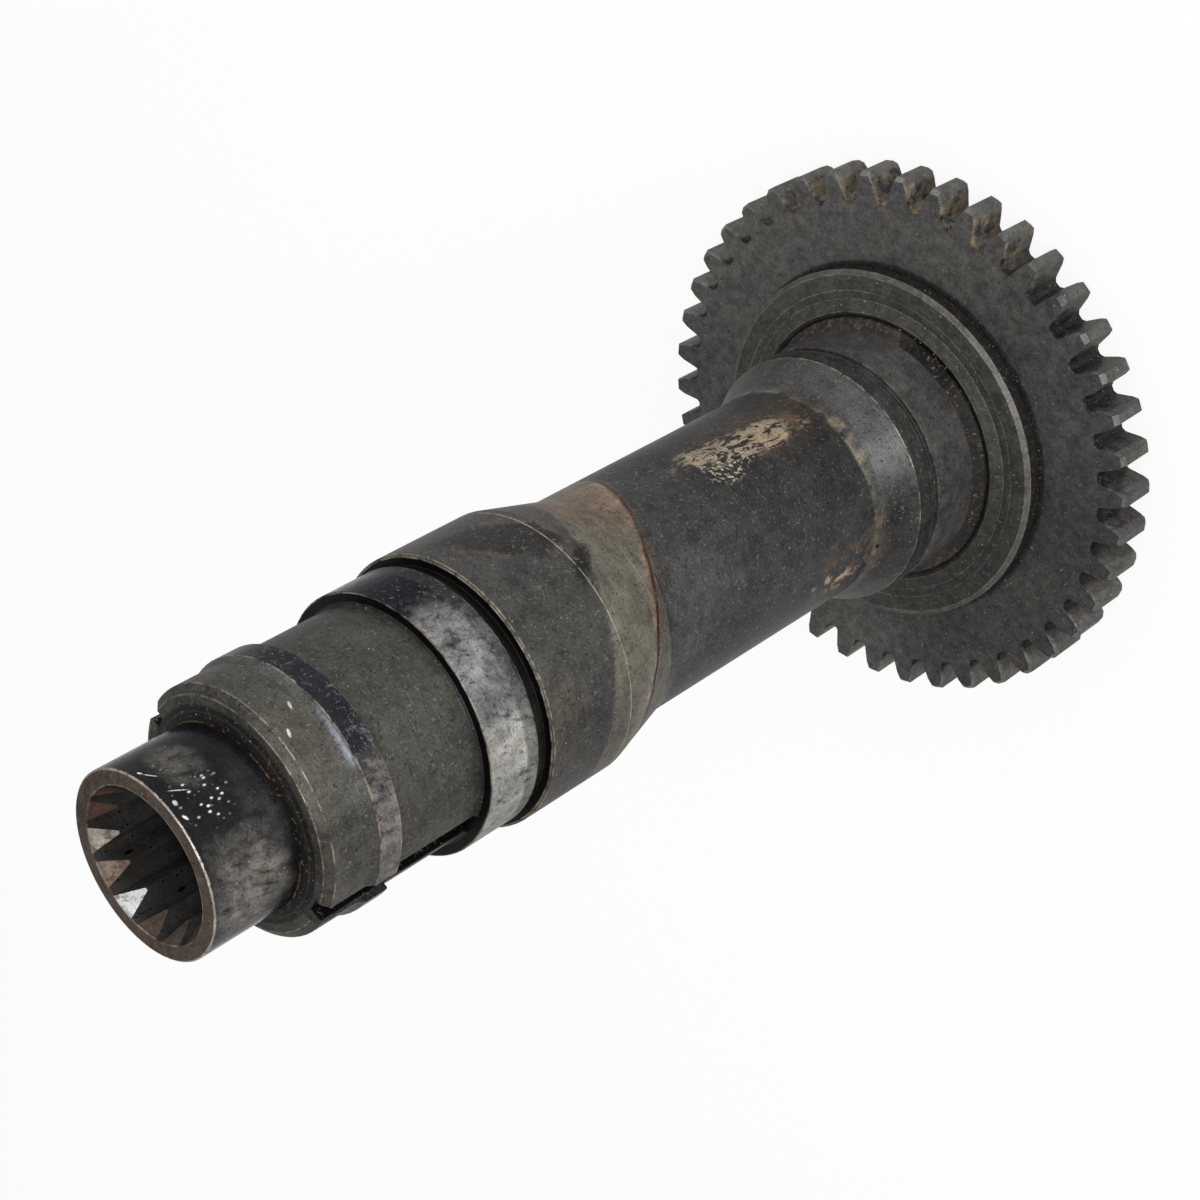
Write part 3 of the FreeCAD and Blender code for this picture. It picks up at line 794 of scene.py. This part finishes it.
def bead_paint():
    paint = Paint("rusty_weld")
    patches = paint.noise(3.2, detail=4, rough=0.65).rise(0.42, 0.66)
    paint.start(paint.mix(patches, srgb(52, 50, 47), srgb(80, 70, 62)), 0.5, 0.2)
    oily = paint.sector(-88, 20, 12, 8)
    paint.cover(oily * 0.85, srgb(20, 18, 17), 0.22, 0.2)
    far_side = paint.sector(-140, 42, 34, 8)
    paint.cover(far_side * 0.8, srgb(44, 42, 39), 0.45, 0.3)
    pale = paint.noise(1.4, detail=4, shift=12).rise(0.60, 0.68)
    paint.cover(pale * 0.6, srgb(138, 124, 110), 0.6, 0.0)
    paint.height = paint.noise(0.8, detail=3, shift=41) * 0.25
    return paint.finish()


def spatter_paint():
    paint = Paint("oily_spatter_with_painted_glints")
    # Dark oily beads; their light patches are painted glints
    patches = paint.noise(0.7, detail=2).rise(0.4, 0.6)
    paint.start(paint.mix(patches, srgb(70, 58, 48), srgb(150, 134, 112)), 0.2, 0.3)
    paint.height = paint.noise(0.5, detail=2) * 0.1
    return paint.finish()


def dress(node, material):
    node.data.materials.clear()
    node.data.materials.append(material)


def new_object(name, points, faces, material):
    """A smooth object from points in mm."""
    mesh = bpy.data.meshes.new(name)
    mesh.from_pydata([[c * MM for c in p] for p in points], [], faces)
    for polygon in mesh.polygons:
        polygon.use_smooth = True
    mesh.materials.append(material)
    piece = bpy.data.objects.new(name, mesh)
    bpy.context.scene.collection.objects.link(piece)
    return piece


def crust_growth(turn, row):
    """How far the crust stands off its profile, in mm: nothing at its edges, most in the middle."""
    middle = math.sin(math.pi * row / (len(CRUST_PROFILE) - 1))
    waver = CRUST_WAVER * noise.noise(Vector((turn * 9, row * 0.2, 1)))
    ripple = 0.5 + 0.5 * math.sin(turn * CRUST_RIPPLES + waver)
    place = Vector((math.cos(turn) * CRUST_LUMP_CELLS, math.sin(turn) * CRUST_LUMP_CELLS, row * 0.55))
    lump = noise.fractal(place, 0.8, 2.0, 3)
    relief = CRUST_THICKNESS + CRUST_RIPPLE_HEIGHT * ripple + CRUST_LUMP_HEIGHT * lump
    return middle * relief - CRUST_EDGE_DEPTH * (1 - middle)


def weld_crust(material):
    """The crust of the weld: ripples and lumps laid over the plain ring."""
    points = []
    rows = len(CRUST_PROFILE)
    for step in range(CRUST_STEPS_ROUND):
        turn = 2 * math.pi * step / CRUST_STEPS_ROUND
        for row, (radius, height) in enumerate(CRUST_PROFILE):
            grow = crust_growth(turn, row)
            out = radius + grow * CRUST_OUTWARD
            points.append((out * math.cos(turn), out * math.sin(turn), height + grow * CRUST_UPWARD))
    faces = []
    for step in range(CRUST_STEPS_ROUND):
        here = step * rows
        ahead = (step + 1) % CRUST_STEPS_ROUND * rows
        for row in range(rows - 1):
            faces.append((here + row, ahead + row, ahead + row + 1, here + row + 1))
    crust = new_object("weld_crust", points, faces, material)
    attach(crust, "root")


def weld_spatter(material):
    """Small beads thrown out beside the weld."""
    chance = random.Random(5)
    points = []
    faces = []
    for bead in range(SPATTER_BEADS):
        angle = math.radians(chance.gauss(SPATTER_ANGLE, SPATTER_SPREAD))
        radius = chance.uniform(SPATTER_INNER_RADIUS, SPATTER_OUTER_RADIUS)
        drop = (radius - SPATTER_INNER_RADIUS) * SPATTER_SLOPE
        height = SPATTER_TOP - drop + chance.uniform(-0.1, 0.2)
        size = chance.uniform(0.25, 0.75)
        first = len(points)
        for ring in range(BEAD_RINGS + 1):
            lift = math.pi * ring / BEAD_RINGS
            for side in range(BEAD_SIDES):
                around = 2 * math.pi * side / BEAD_SIDES
                points.append((
                    radius * math.cos(angle) + size * math.sin(lift) * math.cos(around),
                    radius * math.sin(angle) + size * math.sin(lift) * math.sin(around),
                    height + size * SPATTER_FLATNESS * math.cos(lift)))
        for ring in range(BEAD_RINGS):
            low = first + ring * BEAD_SIDES
            high = low + BEAD_SIDES
            for side in range(BEAD_SIDES):
                after = (side + 1) % BEAD_SIDES
                faces.append((low + side, low + after, high + after, high + side))
    beads = new_object("weld_spatter", points, faces, material)
    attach(beads, "root")


def floor_paint():
    """A pale floor that takes the object's shadow, and looks white to the camera and in reflections."""
    material = bpy.data.materials.new("pale_floor")
    material.use_nodes = True
    nodes, links = material.node_tree.nodes, material.node_tree.links
    shader = nodes["Principled BSDF"]
    shader.inputs["Base Color"].default_value = (0.93, 0.93, 0.93, 1)
    shader.inputs["Roughness"].default_value = 0.9
    white = nodes.new("ShaderNodeEmission")
    white.inputs["Color"].default_value = (1, 1, 1, 1)
    white.inputs["Strength"].default_value = FLOOR_GLOW
    path = nodes.new("ShaderNodeLightPath")
    seen = path.outputs["Is Camera Ray"]
    for ray in ("Is Glossy Ray", "Is Transmission Ray"):
        either = nodes.new("ShaderNodeMath")
        either.operation = "MAXIMUM"
        links.new(seen, either.inputs[0])
        links.new(path.outputs[ray], either.inputs[1])
        seen = either.outputs[0]
    share = nodes.new("ShaderNodeMath")
    share.operation = "MULTIPLY"
    share.inputs[1].default_value = FLOOR_GLOW_SHARE
    links.new(seen, share.inputs[0])
    mixed = nodes.new("ShaderNodeMixShader")
    links.new(share.outputs[0], mixed.inputs[0])
    links.new(shader.outputs[0], mixed.inputs[1])
    links.new(white.outputs[0], mixed.inputs[2])
    links.new(mixed.outputs[0], nodes["Material Output"].inputs["Surface"])
    return material


def floor():
    side, height = FLOOR_HALF_SIZE, FLOOR_HEIGHT
    corners = [(-side, -side, height), (side, -side, height), (side, side, height), (-side, side, height)]
    mesh = bpy.data.meshes.new("floor")
    mesh.from_pydata(corners, [], [(0, 1, 2, 3)])
    plane = bpy.data.objects.new("floor", mesh)
    bpy.context.scene.collection.objects.link(plane)
    plane.data.materials.append(floor_paint())


def camera():
    data = bpy.data.cameras.new("camera")
    data.lens = CAMERA_LENS_MM
    data.sensor_width = CAMERA_SENSOR_MM
    data.clip_start = 0.01
    data.clip_end = 200
    eye = bpy.data.objects.new("camera", data)
    bpy.context.scene.collection.objects.link(eye)
    turn = Matrix((CAMERA_RIGHT, CAMERA_UP, CAMERA_BACK)).transposed()
    eye.matrix_world = Matrix.Translation(CAMERA_PLACE) @ turn.to_4x4()
    bpy.context.scene.camera = eye


def lamp(name, towards, power):
    """A soft square lamp, placed by its direction in the camera's own right, up and back."""
    data = bpy.data.lights.new(name, "AREA")
    data.shape = "SQUARE"
    data.size = LAMP_SIZE
    data.energy = power
    light = bpy.data.objects.new(name, data)
    bpy.context.scene.collection.objects.link(light)
    right, up, back = towards
    direction = (CAMERA_RIGHT * right + CAMERA_UP * up + CAMERA_BACK * back).normalized()
    light.location = LAMPS_AIM + direction * LAMP_DISTANCE
    light.rotation_mode = "QUATERNION"
    light.rotation_quaternion = (-direction).to_track_quat("-Z", "Y")


def lights():
    lamp("key", (0.85, 0.1, 0.9), power=15)
    lamp("top", (-0.35, 0.9, 0.25), power=5)
    lamp("front", (-0.4, -0.35, 1.0), power=9)
    world = bpy.data.worlds.new("studio")
    bpy.context.scene.world = world
    world.use_nodes = True
    background = world.node_tree.nodes["Background"]
    background.inputs["Color"].default_value = (0.97, 0.98, 1.0, 1)
    background.inputs["Strength"].default_value = 0.5


camera()
floor()
lights()
dress(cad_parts["shaft"], shaft_paint())
dress(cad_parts["gear_wheel"], gear_paint())
weld_crust(bead_paint())
weld_spatter(spatter_paint())

bpy.context.scene.view_settings.view_transform = "Standard"
